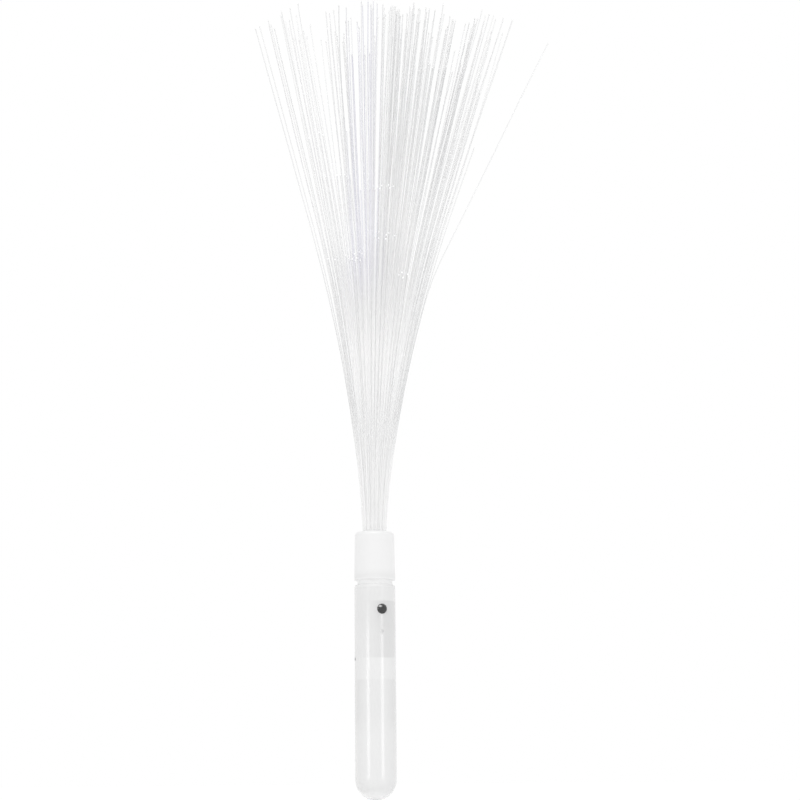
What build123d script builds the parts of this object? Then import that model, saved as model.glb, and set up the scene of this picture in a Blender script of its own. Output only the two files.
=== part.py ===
from build123d import *
import math
import os
import random

# A handheld fibre optic wand, in millimetres.
# The handle is a milky tube with a round closed end. A module of button cells, boards and lights slides
# into its mouth, a push button works the module's switch through the wall, and a head plugs the mouth.
# The head is a cap that holds a bundle of light-carrying fibres, which fan out above it.
# The origin is the centre of the handle's round end, where its straight wall starts. +Z runs up the wand.

# ---- driving dimensions ----

running_gap = 0.05  # radial clearance of pieces that slide in each other
seat_gap = 0.1  # between flat faces that meet but are not glued

handle_radius = 8.75
handle_wall = 1.25
handle_length = 81.4  # from the origin to the mouth's rim
handle_draft = 0.05  # how much thinner the handle is at its mouth
grip_length = 46.0  # plain straight stretch at the round end, where a holder grips
shoulder_height = 1.2  # over which the handle narrows to its rim
rim_width = 0.3  # of the flat that is left at the rim

button_turn = 21.0  # degrees from -Y towards +X
button_radius = 2.0
button_proud = 1.2
button_edge_proud = 0.4
button_flange_radius = 2.55
button_flange_depth = 0.7
button_gap = 0.1
button_room = 0.5  # between the button's flange and the light board

dish_drop = 9.5  # from the button down to the dish in the wall
dish_radius = 1.3
dish_depth = 0.15
pit_radius = 0.55
pit_depth = 0.5

pin_turn = -75.0  # degrees from -Y towards +X
pin_height = 50.0
pin_radius = 0.65
pin_proud = 0.03
pin_round = 0.1
pin_inner_end = 5.9

cell_radius = 5.8
cell_height = 5.4
cell_edge = 0.5
cell_step = 0.25
cell_count = 3
cup_floor = 1.0
cup_radius = 7.3
cell_gap = 0.1
contact_thickness = 0.2
contact_tab_width = 1.2
spring_height = 1.2
spring_reach = 4.2  # from the middle of the bow to its ends
spring_width = 3.0
spring_thickness = 0.2
lid_thickness = 1.0
tab_rise = 3.0
wire_room = 7.8  # between the battery cup and the control board

rail_thickness = 1.6
rail_front = 4.2
rail_back = 3.6

board_thickness = 1.0
board_front = 3.0  # from the wand's axis towards the button
board_half_width = 6.2
board_length = 23.8
light_board_radius = 7.2

light_radius = 1.5
light_flange_radius = 1.9
light_flange_height = 1.0
light_height = 5.3
light_flat = 0.08  # left flat in the middle of a light's top
light_circle = 3.1
light_gap = 1.5  # between the lights and the fibres
lead_radius = 0.22
lead_spacing = 2.54
lead_below_board = 0.8

switch_size = 4.2
switch_base_height = 1.8
switch_cover_thickness = 0.2
switch_floor = 0.5
switch_cavity_radius = 1.6
plunger_radius = 1.1
plunger_height = 0.9  # above the switch cover
plunger_flange_radius = 1.45
plunger_flange = 0.35
plunger_foot_radius = 0.5
dome_radius = 1.45
dome_rise = 0.25
dome_thickness = 0.08

chip_radius = 2.6
chip_height = 1.1
chip_drop = 12.0
resistor_length = 1.6
resistor_width = 0.8
resistor_height = 0.5
resistor_drop = 4.4
resistor_pitch = 2.4

wire_radius = 0.45
wire_bend = 2.4
negative_wire_out = 6.6  # from the wand's axis
positive_wire_side = -2.5
positive_wire_back = 1.0
negative_joint_rise = 3.2  # above the control board's lower edge
positive_joint_rise = 7.2
channel_width = 1.8
solder_radius = 0.9
solder_height = 0.8

groove_height = 2.0  # between the handle's rim and the cap
cap_height = 20.5
cap_bottom_radius = 8.72
cap_top_radius = 8.33
cap_round = 1.6
plug_depth = 6.6  # how far the head goes into the handle
plug_gap = 0.07
plug_bead = 0.04
plug_bead_height = 1.2
plug_root_round = 0.4
light_room_radius = 6.0

bundle_radius = 4.82
sleeve_wall = 0.33
sleeve_height = 9.5
glue_height = 4.0
mouth_lip = 2.0
mouth_gap = 0.12

fibre_radius = 0.25
fibre_pitch = 0.57
fibre_glue_gap = 0.02
fibre_length = 258.4
held_length = 9.75  # from the lit ends to where the fibres start to bend outwards
first_bend_rise = 40.0  # over which they take the first share of their tilt
first_bend_share = 0.4
second_bend_rise = 110.0  # from there to where they run straight again
fan_tilt = 17.8  # degrees, of the outermost fibres
fan_lean = 2.25  # degrees, of the whole fan towards +X
fan_gather = 1.5  # above 1, the fibres stand closer in the middle of the fan than at its rim
fan_wander = 0.95  # degrees that a fibre at the rim may leave the even fan by
cut_slant = 12.5  # how much longer the fibres are at the back of the fan than in its middle
fibre_length_scatter = 4.0
tuft_count = 14  # tufts of neighbouring fibres that are cut short together
tuft_reach = 0.75
shortest_trim = 20.0
longest_trim = 118.0
stray_leave = 74.25  # above the first bend, where the stray fibre leaves the fan
stray_bend = 110.0
stray_tilt = 26.3
stray_straight = 109.3
scatter_seed = 7

# ---- sizes that follow from them ----

bore_radius = handle_radius - handle_wall
mouth_radius = handle_radius - handle_draft
cap_bottom = handle_length + groove_height
cap_top = cap_bottom + cap_height
plug_radius = bore_radius - plug_gap
plug_end = handle_length - plug_depth

light_board_top = plug_end - seat_gap
light_board_bottom = light_board_top - board_thickness
light_end = light_board_top + light_height
button_height = light_board_bottom - button_flange_radius - button_room
rail_top = light_board_bottom
board_top = light_board_bottom - seat_gap
board_bottom = board_top - board_length
board_back = board_front - board_thickness

cup_top = board_bottom - wire_room
lid_bottom = cup_top - lid_thickness
stack_top = lid_bottom - contact_thickness
stack_bottom = stack_top - cell_count * cell_height
spring_foot = stack_bottom - spring_height
cup_floor_top = spring_foot - contact_thickness
cup_bottom = cup_floor_top - cup_floor
cup_bore = cell_radius + cell_gap
contact_radius = cup_bore - 2 * cell_gap
tab_top = cup_top + tab_rise

switch_top = board_front + switch_base_height
cover_top = switch_top + switch_cover_thickness
plunger_top = cover_top + plunger_height
button_flange_top = plunger_top + button_flange_depth

bundle_foot = light_end + light_gap
fan_start = bundle_foot + held_length
sleeve_radius = bundle_radius + running_gap + sleeve_wall
bundle_reach = bundle_radius - fibre_radius


def spread_at(height, tilt):
    """How far a fibre of this final tilt has moved outwards at a height inside its first bend."""
    bend_radius = first_bend_rise / math.sin(math.radians(first_bend_share * tilt))
    return bend_radius - math.sqrt(bend_radius**2 - (height - fan_start) ** 2)


outer_tilt = fan_tilt + fan_lean + fan_wander
lip_radius = bundle_radius + spread_at(cap_top, outer_tilt) + mouth_gap


# ---- working planes ----


def module_plane(height):
    """Level plane whose -Y points at the push button."""
    turn = math.radians(button_turn)
    return Plane(origin=(0, 0, height), x_dir=(math.cos(turn), math.sin(turn), 0), z_dir=(0, 0, 1))


def outward_plane(turn_degrees, distance, height):
    """Upright plane that faces away from the wand's axis, with its Y up."""
    turn = math.radians(turn_degrees)
    outward = Vector(math.sin(turn), -math.cos(turn), 0)
    across = Vector(math.cos(turn), math.sin(turn), 0)
    return Plane(origin=outward * distance + Vector(0, 0, height), x_dir=across, z_dir=outward)


def section_plane(turn_degrees, height):
    """Level plane through a round piece that points outwards, with its Y outwards."""
    turn = math.radians(turn_degrees)
    return Plane(origin=(0, 0, height), x_dir=(math.cos(turn), math.sin(turn), 0), z_dir=(0, 0, -1))


def outward_axis(turn_degrees, height):
    """Axis of a round piece that points outwards."""
    turn = math.radians(turn_degrees)
    return Axis((0, 0, height), (math.sin(turn), -math.cos(turn), 0))


button_axis = outward_axis(button_turn, button_height)
button_section = section_plane(button_turn, button_height)


os.makedirs("parts", exist_ok=True)


# ---- handle ----

with BuildPart() as handle_tube:
    with BuildSketch(Plane.XZ):
        with BuildLine():
            outer_end = CenterArc((0, 0), handle_radius, -90, 90)
            grip = Line(outer_end @ 1, (handle_radius, grip_length))
            drafted = Line(grip @ 1, (mouth_radius, handle_length - shoulder_height))
            shoulder = TangentArc(drafted @ 1, (bore_radius + rim_width, handle_length), tangent=drafted % 1)
            rim = Line(shoulder @ 1, (bore_radius, handle_length))
            bore = Line(rim @ 1, (bore_radius, 0))
            inner_end = CenterArc((0, 0), bore_radius, 0, -90)
            Line(inner_end @ 1, outer_end @ 0)
        make_face()
    revolve(axis=Axis.Z)
    with BuildSketch(outward_plane(button_turn, 0, button_height)):
        Circle(button_radius + button_gap)
    extrude(amount=2 * handle_radius, mode=Mode.SUBTRACT)
    with BuildSketch(outward_plane(pin_turn, 0, pin_height)):
        Circle(pin_radius + running_gap)
    extrude(amount=2 * handle_radius, mode=Mode.SUBTRACT)
    dish_sphere = (dish_radius**2 + dish_depth**2) / (2 * dish_depth)
    dish_turn = math.radians(button_turn)
    dish_centre = handle_radius - dish_depth + dish_sphere
    with Locations(
        (dish_centre * math.sin(dish_turn), -dish_centre * math.cos(dish_turn), button_height - dish_drop)
    ):
        Sphere(dish_sphere, mode=Mode.SUBTRACT)
    with BuildSketch(outward_plane(button_turn, handle_radius - pit_depth, button_height - dish_drop)):
        Circle(pit_radius)
    extrude(amount=handle_wall, taper=-pit_radius * handle_wall, mode=Mode.SUBTRACT)
handle_tube.part.label = "handle_tube"
export_step(handle_tube.part, "parts/handle_tube.step")

with BuildPart() as push_button:
    with BuildSketch(button_section):
        with BuildLine():
            button_edge = handle_radius + button_edge_proud
            crown = (0, handle_radius + button_proud)
            Polyline(
                crown,
                (0, plunger_top),
                (button_flange_radius, plunger_top),
                (button_flange_radius, button_flange_top),
                (button_radius, button_flange_top),
                (button_radius, button_edge),
            )
            crown_rise = button_proud - button_edge_proud
            crown_radius = (button_radius**2 + crown_rise**2) / (2 * crown_rise)
            RadiusArc((button_radius, button_edge), crown, -crown_radius)
        make_face()
    revolve(axis=button_axis)
push_button.part.label = "push_button"
export_step(push_button.part, "parts/push_button.step")

with BuildPart() as retaining_pin:
    with BuildSketch(outward_plane(pin_turn, pin_inner_end, pin_height)):
        Circle(pin_radius)
    extrude(amount=handle_radius + pin_proud - pin_inner_end)
    pin_end = retaining_pin.faces().sort_by(outward_axis(pin_turn, pin_height))[-1]
    fillet(pin_end.edges(), pin_round)
retaining_pin.part.label = "retaining_pin"
export_step(retaining_pin.part, "parts/retaining_pin.step")


# ---- module frame and battery ----

with BuildPart() as module_frame:
    with BuildSketch(module_plane(cup_bottom)):
        Circle(cup_radius)
    extrude(amount=cup_top - cup_bottom)
    with BuildSketch(module_plane(cup_floor_top)):
        Circle(cup_bore)
        Rectangle(channel_width, 2 * cup_radius, align=(Align.CENTER, Align.MIN))
    extrude(amount=cup_top - cup_floor_top, mode=Mode.SUBTRACT)
    with BuildSketch(module_plane(cup_top)):
        Circle(cup_radius)
        Circle(cup_radius - rail_thickness, mode=Mode.SUBTRACT)
        with Locations((0, (rail_back - rail_front) / 2)):
            Rectangle(2 * cup_radius, rail_front + rail_back, mode=Mode.INTERSECT)
        with Locations((0, -board_front + board_thickness / 2)):
            Rectangle(
                2 * (board_half_width + running_gap),
                board_thickness + 2 * running_gap,
                mode=Mode.SUBTRACT,
            )
    extrude(amount=rail_top - cup_top)
    with BuildSketch(outward_plane(pin_turn, pin_inner_end - running_gap, pin_height)):
        Circle(pin_radius + running_gap)
    extrude(amount=handle_radius, mode=Mode.SUBTRACT)
module_frame.part.label = "module_frame"
export_step(module_frame.part, "parts/module_frame.step")

cell_names = ("battery_lower", "battery_middle", "battery_upper")
for number, cell_name in enumerate(cell_names):
    with BuildPart() as battery:
        with BuildSketch(module_plane(stack_bottom + number * cell_height)):
            Circle(cell_radius - cell_edge)
        extrude(amount=cell_step)
        with BuildSketch(module_plane(stack_bottom + number * cell_height + cell_step)):
            Circle(cell_radius)
        extrude(amount=cell_height - cell_step)
        fillet(battery.edges().group_by(Axis.Z)[-1], cell_step)
    battery.part.label = cell_name
    export_step(battery.part, f"parts/{cell_name}.step")

with BuildPart() as negative_contact:
    with BuildSketch(module_plane(cup_floor_top)):
        Circle(contact_radius)
        with Locations((0, negative_wire_out / 2)):
            Rectangle(contact_tab_width, negative_wire_out)
    extrude(amount=contact_thickness)
negative_contact.part.label = "negative_contact"
export_step(negative_contact.part, "parts/negative_contact.step")

with BuildPart() as negative_spring:
    bow_rise = spring_height - 2 * running_gap
    inner_reach = spring_reach - spring_thickness
    with BuildSketch(outward_plane(button_turn, -spring_width / 2, spring_foot + running_gap)):
        with BuildLine():
            ThreePointArc((-spring_reach, 0), (0, bow_rise), (spring_reach, 0))
            Line((spring_reach, 0), (inner_reach, 0))
            ThreePointArc((inner_reach, 0), (0, bow_rise - spring_thickness), (-inner_reach, 0))
            Line((-inner_reach, 0), (-spring_reach, 0))
        make_face()
    extrude(amount=spring_width)
negative_spring.part.label = "negative_spring"
export_step(negative_spring.part, "parts/negative_spring.step")

with BuildPart() as positive_contact:
    with BuildSketch(module_plane(stack_top)):
        Circle(contact_radius)
    extrude(amount=contact_thickness)
    with BuildSketch(module_plane(lid_bottom)):
        with Locations((positive_wire_side, positive_wire_back)):
            Rectangle(contact_tab_width, contact_thickness)
    extrude(amount=tab_top - lid_bottom)
positive_contact.part.label = "positive_contact"
export_step(positive_contact.part, "parts/positive_contact.step")

with BuildPart() as battery_lid:
    with BuildSketch(module_plane(lid_bottom)):
        Circle(cup_bore - running_gap)
        with Locations((positive_wire_side, positive_wire_back)):
            Rectangle(
                contact_tab_width + 2 * seat_gap,
                contact_thickness + 2 * seat_gap,
                mode=Mode.SUBTRACT,
            )
    extrude(amount=lid_thickness)
battery_lid.part.label = "battery_lid"
export_step(battery_lid.part, "parts/battery_lid.step")


# ---- boards and what is on them ----

with BuildPart() as control_board:
    with BuildSketch(outward_plane(button_turn, board_back, board_bottom)):
        Rectangle(2 * board_half_width, board_length, align=(Align.CENTER, Align.MIN))
    extrude(amount=board_thickness)
control_board.part.label = "control_board"
export_step(control_board.part, "parts/control_board.step")

light_places = [
    (light_circle * math.cos(math.radians(turn)), light_circle * math.sin(math.radians(turn)))
    for turn in (90, 210, 330)
]
lead_places = [
    (x + side * lead_spacing / 2, y) for x, y in light_places for side in (-1, 1)
]

with BuildPart() as light_board:
    with BuildSketch(module_plane(light_board_bottom)):
        Circle(light_board_radius)
        with Locations(*lead_places):
            Circle(lead_radius + running_gap, mode=Mode.SUBTRACT)
    extrude(amount=board_thickness)
light_board.part.label = "light_board"
export_step(light_board.part, "parts/light_board.step")

for light_name, place in zip(("red_light", "green_light", "blue_light"), light_places):
    with BuildPart() as light:
        with BuildSketch(module_plane(light_board_top)):
            with Locations(place):
                Circle(light_flange_radius)
        extrude(amount=light_flange_height)
        with BuildSketch(module_plane(light_board_top + light_flange_height)):
            with Locations(place):
                Circle(light_radius)
        extrude(amount=light_height - light_flange_height)
        dome_edge = light.edges().group_by(Axis.Z)[-1]
        fillet(dome_edge, light_radius - light_flat)
    light.part.label = light_name
    export_step(light.part, f"parts/{light_name}.step")

with BuildPart() as light_leads:
    with BuildSketch(module_plane(light_board_bottom - lead_below_board)):
        with Locations(*lead_places):
            Circle(lead_radius)
    extrude(amount=lead_below_board + board_thickness)
light_leads.part.label = "light_leads"
export_step(light_leads.part, "parts/light_leads.step")

with BuildPart() as switch_base:
    with BuildSketch(outward_plane(button_turn, board_front, button_height)):
        Rectangle(switch_size, switch_size)
    extrude(amount=switch_base_height)
    with BuildSketch(outward_plane(button_turn, board_front + switch_floor, button_height)):
        Circle(switch_cavity_radius)
    extrude(amount=switch_base_height, mode=Mode.SUBTRACT)
switch_base.part.label = "switch_base"
export_step(switch_base.part, "parts/switch_base.step")

with BuildPart() as switch_cover:
    with BuildSketch(outward_plane(button_turn, switch_top, button_height)):
        Rectangle(switch_size, switch_size)
        Circle(plunger_radius + running_gap, mode=Mode.SUBTRACT)
    extrude(amount=switch_cover_thickness)
switch_cover.part.label = "switch_cover"
export_step(switch_cover.part, "parts/switch_cover.step")

plunger_flange_top = switch_top - running_gap
plunger_flange_bottom = plunger_flange_top - plunger_flange
dome_foot = board_front + switch_floor

with BuildPart() as switch_plunger:
    with BuildSketch(button_section):
        with BuildLine():
            foot_end = dome_foot + dome_rise + running_gap
            Polyline(
                (0, foot_end),
                (plunger_foot_radius, foot_end),
                (plunger_foot_radius, plunger_flange_bottom),
                (plunger_flange_radius, plunger_flange_bottom),
                (plunger_flange_radius, plunger_flange_top),
                (plunger_radius, plunger_flange_top),
                (plunger_radius, plunger_top),
                (0, plunger_top),
                close=True,
            )
        make_face()
    revolve(axis=button_axis)
switch_plunger.part.label = "switch_plunger"
export_step(switch_plunger.part, "parts/switch_plunger.step")

with BuildPart() as switch_dome:
    dome_sphere = (dome_radius**2 + dome_rise**2) / (2 * dome_rise)
    dome_inner = dome_rise - dome_thickness
    dome_inner_radius = dome_radius - dome_thickness
    dome_inner_sphere = (dome_inner_radius**2 + dome_inner**2) / (2 * dome_inner)
    with BuildSketch(button_section):
        with BuildLine():
            RadiusArc((dome_radius, dome_foot), (0, dome_foot + dome_rise), -dome_sphere)
            Line((0, dome_foot + dome_rise), (0, dome_foot + dome_inner))
            RadiusArc((0, dome_foot + dome_inner), (dome_inner_radius, dome_foot), dome_inner_sphere)
            Line((dome_inner_radius, dome_foot), (dome_radius, dome_foot))
        make_face()
    revolve(axis=button_axis)
switch_dome.part.label = "switch_dome"
export_step(switch_dome.part, "parts/switch_dome.step")

with BuildPart() as control_chip:
    chip_sphere = (chip_radius**2 + chip_height**2) / (2 * chip_height)
    with BuildSketch(section_plane(button_turn, button_height - chip_drop)):
        with BuildLine():
            RadiusArc((chip_radius, board_front), (0, board_front + chip_height), -chip_sphere)
            Line((0, board_front + chip_height), (0, board_front))
            Line((0, board_front), (chip_radius, board_front))
        make_face()
    revolve(axis=outward_axis(button_turn, button_height - chip_drop))
control_chip.part.label = "control_chip"
export_step(control_chip.part, "parts/control_chip.step")

with BuildPart() as resistors:
    with BuildSketch(outward_plane(button_turn, board_front, button_height - resistor_drop)):
        with GridLocations(resistor_pitch, resistor_pitch, 3, 1):
            Rectangle(resistor_length, resistor_width)
    extrude(amount=resistor_height)
resistors.part.label = "resistors"
export_step(resistors.part, "parts/resistors.step")


# ---- wires ----

positive_joint = board_bottom + positive_joint_rise
negative_joint = board_bottom + negative_joint_rise
positive_route = [
    (positive_wire_side, positive_wire_back, tab_top),
    (positive_wire_side, positive_wire_back, positive_joint),
    (positive_wire_side, -board_back, positive_joint),
]
negative_route = [
    (0, negative_wire_out, spring_foot),
    (0, negative_wire_out, negative_joint - 2 * wire_bend),
    (0, negative_wire_out - 2 * wire_bend, negative_joint),
    (0, -board_back, negative_joint),
]

for wire_name, route in (("positive_wire", positive_route), ("negative_wire", negative_route)):
    with BuildPart() as wire:
        with BuildLine(module_plane(0)) as run:
            FilletPolyline(*route, radius=wire_bend)
        with BuildSketch(Plane(origin=run.line @ 0, z_dir=(0, 0, 1))):
            Circle(wire_radius)
        sweep()
    wire.part.label = wire_name
    export_step(wire.part, f"parts/{wire_name}.step")

with BuildPart() as solder_joints:
    for side, height in ((positive_wire_side, positive_joint), (0, negative_joint)):
        with BuildSketch(outward_plane(button_turn, board_back, height)):
            with Locations((side, 0)):
                Circle(solder_radius)
                Circle(wire_radius + running_gap, mode=Mode.SUBTRACT)
        extrude(amount=-solder_height)
solder_joints.part.label = "solder_joints"
export_step(solder_joints.part, "parts/solder_joints.step")


# ---- head ----

with BuildPart() as head_cap:
    sleeve_bore = sleeve_radius + running_gap
    room_top = bundle_foot - seat_gap
    bead_middle = (plug_end + handle_length) / 2
    bead_bottom = bead_middle - plug_bead_height / 2
    bead_top = bead_middle + plug_bead_height / 2
    with BuildSketch(Plane.XZ):
        with BuildLine():
            Polyline(
                (light_room_radius, plug_end),
                (plug_radius, plug_end),
                (plug_radius, bead_bottom),
                (plug_radius + plug_bead, bead_middle),
                (plug_radius, bead_top),
                (plug_radius, cap_bottom),
                (cap_bottom_radius, cap_bottom),
                (cap_top_radius, cap_top),
                (lip_radius, cap_top),
                (lip_radius, cap_top - mouth_lip),
                (sleeve_bore, cap_top - mouth_lip),
                (sleeve_bore, room_top),
                (light_room_radius, room_top),
                close=True,
            )
        make_face()
    revolve(axis=Axis.Z)
    top_edges = head_cap.edges().filter_by(GeomType.CIRCLE).group_by(Axis.Z)[-1]
    fillet(top_edges.sort_by(SortBy.RADIUS)[-1], cap_round)
    under_edges = head_cap.edges().filter_by(GeomType.CIRCLE).filter_by_position(
        Axis.Z, cap_bottom - seat_gap, cap_bottom + seat_gap
    )
    fillet(under_edges.sort_by(SortBy.RADIUS)[0], plug_root_round)
head_cap.part.label = "head_cap"
export_step(head_cap.part, "parts/head_cap.step")

with BuildPart() as bundle_sleeve:
    with BuildSketch(Plane.XY.offset(bundle_foot)):
        Circle(sleeve_radius)
        Circle(bundle_radius + running_gap, mode=Mode.SUBTRACT)
    extrude(amount=sleeve_height)
bundle_sleeve.part.label = "bundle_sleeve"
export_step(bundle_sleeve.part, "parts/bundle_sleeve.step")


# ---- fibres ----


def fibre_feet():
    """Places of the fibres in the bundle, in tight rows, within its reach."""
    row_pitch = fibre_pitch * math.sqrt(3) / 2
    rows = int(bundle_reach / row_pitch) + 1
    columns = int(bundle_reach / fibre_pitch) + 1
    places = []
    for row in range(-rows, rows + 1):
        for column in range(-columns - 1, columns + 1):
            x = (column + 0.5 * (row % 2)) * fibre_pitch
            y = row * row_pitch
            if math.hypot(x, y) <= bundle_reach:
                places.append((x, y))
    return places


def strand(foot, heading, bends, straight):
    """One fibre, up from its foot through bends given as (straight run before, radius, new tilt)."""
    turn = math.radians(heading)
    x_dir = (math.cos(turn), math.sin(turn), 0)
    side = Plane(origin=(*foot, bundle_foot), x_dir=x_dir, z_dir=(math.sin(turn), -math.cos(turn), 0))
    here, tilt = (0.0, 0.0), 0.0
    with BuildPart() as fibre:
        with BuildLine(side):
            for run, radius, new_tilt in bends:
                start = (here[0] + run * math.sin(tilt), here[1] + run * math.cos(tilt))
                if run > 0:
                    Line(here, start)
                middle, here = [
                    (
                        start[0] + radius * (math.cos(tilt) - math.cos(reached)),
                        start[1] + radius * (math.sin(reached) - math.sin(tilt)),
                    )
                    for reached in ((tilt + new_tilt) / 2, new_tilt)
                ]
                ThreePointArc(start, middle, here)
                tilt = new_tilt
            if straight > 0:
                Line(here, (here[0] + straight * math.sin(tilt), here[1] + straight * math.cos(tilt)))
        with BuildSketch(Plane(origin=(*foot, bundle_foot))):
            Circle(fibre_radius)
        sweep()
    return fibre.part


def fan_bends(tilt):
    """Tilt after the first bend of a fan's fibre, and the radii of its two bends, for its last tilt."""
    first_tilt = first_bend_share * tilt
    first_radius = first_bend_rise / math.sin(first_tilt)
    second_radius = second_bend_rise / (math.sin(tilt) - math.sin(first_tilt))
    return first_tilt, first_radius, second_radius


def fan_strand(foot, tilt_x, tilt_y, trim):
    """One fibre of the fan, with the tilt of its straight end in degrees along X and Y."""
    tilt = math.radians(math.hypot(tilt_x, tilt_y))
    first_tilt, first_radius, second_radius = fan_bends(tilt)
    left = fibre_length + cut_slant * tilt_y / fan_tilt - trim - held_length - first_radius * first_tilt
    bent = min(left, second_radius * (tilt - first_tilt))
    end_tilt = first_tilt + bent / second_radius
    bends = [(held_length, first_radius, first_tilt), (0, second_radius, end_tilt)]
    return strand(foot, math.degrees(math.atan2(tilt_y, tilt_x)), bends, left - bent)


random.seed(scatter_seed)
feet = fibre_feet()
stray_foot = max(feet, key=lambda foot: foot[0] - abs(foot[1]))
ring_names = ("fibres_core", "fibres_inner", "fibres_middle", "fibres_outer", "fibres_rim")
bundles = {name: [] for name in ring_names}
tufts = [(random.choice(feet), random.uniform(shortest_trim, longest_trim)) for _ in range(tuft_count)]
for foot in feet:
    share = math.hypot(*foot) / bundle_reach
    gathered = share ** (fan_gather - 1)
    wander_turn = random.uniform(0, 2 * math.pi)
    wander = fan_wander * gathered * math.sqrt(random.random())
    trim = random.uniform(0, fibre_length_scatter)
    for tuft_foot, tuft_trim in tufts:
        if math.dist(foot, tuft_foot) < tuft_reach:
            trim = tuft_trim
    if foot == stray_foot:
        continue
    spread = fan_tilt * gathered / bundle_reach
    tilt_x = spread * foot[0] + fan_lean + wander * math.cos(wander_turn)
    tilt_y = spread * foot[1] + wander * math.sin(wander_turn)
    ring = min(int(share**2 * len(ring_names)), len(ring_names) - 1)
    bundles[ring_names[ring]].append(fan_strand(foot, tilt_x, tilt_y, trim))

for bundle_name, strands in bundles.items():
    with BuildPart() as fibre_ring:
        add(strands)
    fibre_ring.part.label = bundle_name
    export_step(fibre_ring.part, f"parts/{bundle_name}.step")

with BuildPart() as stray_fibre:
    first_tilt, first_radius, second_radius = fan_bends(math.radians(fan_tilt + fan_lean))
    leaving_tilt = math.asin(math.sin(first_tilt) + stray_leave / second_radius)
    stray_bends = [
        (held_length, first_radius, first_tilt),
        (0, second_radius, leaving_tilt),
        (0, stray_bend, math.radians(stray_tilt)),
    ]
    add(strand(stray_foot, 0, stray_bends, stray_straight))
stray_fibre.part.label = "stray_fibre"
export_step(stray_fibre.part, "parts/stray_fibre.step")

with BuildPart() as bundle_glue:
    with BuildSketch(Plane.XY.offset(bundle_foot)):
        Circle(bundle_radius + running_gap)
        with Locations(*feet):
            Circle(fibre_radius + fibre_glue_gap, mode=Mode.SUBTRACT)
    extrude(amount=glue_height)
bundle_glue.part.label = "bundle_glue"
export_step(bundle_glue.part, "parts/bundle_glue.step")
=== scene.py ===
import functools
import math
import random

import bpy
import numpy as np
from mathutils import Matrix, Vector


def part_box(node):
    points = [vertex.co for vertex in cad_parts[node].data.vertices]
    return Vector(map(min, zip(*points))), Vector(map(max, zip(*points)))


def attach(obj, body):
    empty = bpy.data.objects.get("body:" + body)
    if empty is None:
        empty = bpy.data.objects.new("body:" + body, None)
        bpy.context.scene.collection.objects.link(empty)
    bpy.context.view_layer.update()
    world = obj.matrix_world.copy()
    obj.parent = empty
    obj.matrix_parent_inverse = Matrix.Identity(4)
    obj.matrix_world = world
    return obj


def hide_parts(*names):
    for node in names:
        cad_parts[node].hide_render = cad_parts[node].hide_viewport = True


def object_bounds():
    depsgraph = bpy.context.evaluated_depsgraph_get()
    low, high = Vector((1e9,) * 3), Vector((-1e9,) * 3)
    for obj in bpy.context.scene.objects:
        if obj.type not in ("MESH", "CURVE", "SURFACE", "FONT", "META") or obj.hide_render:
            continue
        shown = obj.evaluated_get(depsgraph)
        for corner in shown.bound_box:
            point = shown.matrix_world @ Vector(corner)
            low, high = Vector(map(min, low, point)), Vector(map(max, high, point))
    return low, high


bl_info = {
    "name": "Fibre Wand",
    "version": (1, 0, 0),
    "blender": (4, 5, 0),
    "location": "3D View > Sidebar > Fibre Wand",
    "description": "Finishes a handheld fibre optic wand and sets it in a white studio",
    "category": "Object",
}

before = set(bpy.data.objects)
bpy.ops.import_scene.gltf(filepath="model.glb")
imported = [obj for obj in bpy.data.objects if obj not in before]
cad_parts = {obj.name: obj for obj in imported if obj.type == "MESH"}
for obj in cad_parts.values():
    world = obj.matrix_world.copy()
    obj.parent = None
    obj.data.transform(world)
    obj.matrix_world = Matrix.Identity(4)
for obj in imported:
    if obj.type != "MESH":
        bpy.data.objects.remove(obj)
cad_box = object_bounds()

MM = 0.001
SCATTER_SEED = 11

FAN_NODES = ("fibres_core", "fibres_inner", "fibres_middle", "fibres_outer", "fibres_rim")
FIBRE_ATTRIBUTES = ("lot", "outer", "from_tip")
BATTERY_NODES = ("battery_lower", "battery_middle", "battery_upper")
WHITE = (1.0, 1.0, 1.0)
BLACK = (0.0, 0.0, 0.0)

HANDLE_LOW, HANDLE_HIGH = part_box("handle_tube")
HANDLE_RADIUS = HANDLE_HIGH.x
CAP_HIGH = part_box("head_cap")[1]
BUNDLE_LOW, BUNDLE_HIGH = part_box("fibres_rim")
BUNDLE_FOOT_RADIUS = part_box("bundle_glue")[1].x
BOARD_LOW, BOARD_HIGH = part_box("control_board")
PLUG_TOP = HANDLE_HIGH.z + 2.0 * MM
STACK_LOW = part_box("battery_lower")[0].z
STACK_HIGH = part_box("battery_upper")[1].z


# ---- shader maths ----


class Value:
    """A socket that takes part in Python arithmetic by adding Math nodes."""

    def __init__(self, shading, socket):
        self.shading = shading
        self.socket = socket

    def maths(self, operation, *operands, clamp=False):
        inputs = dict(enumerate(operands))
        return self.shading.node("Math", {"operation": operation, "use_clamp": clamp}, inputs)

    def __add__(self, other):
        return self.maths("ADD", self, other)

    def __radd__(self, other):
        return self.maths("ADD", other, self)

    def __sub__(self, other):
        return self.maths("SUBTRACT", self, other)

    def __rsub__(self, other):
        return self.maths("SUBTRACT", other, self)

    def __mul__(self, other):
        return self.maths("MULTIPLY", self, other)

    def __rmul__(self, other):
        return self.maths("MULTIPLY", other, self)

    def __truediv__(self, other):
        return self.maths("DIVIDE", self, other)

    def __rtruediv__(self, other):
        return self.maths("DIVIDE", other, self)

    def clamped(self):
        return self.maths("ADD", self, 0.0, clamp=True)


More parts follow.
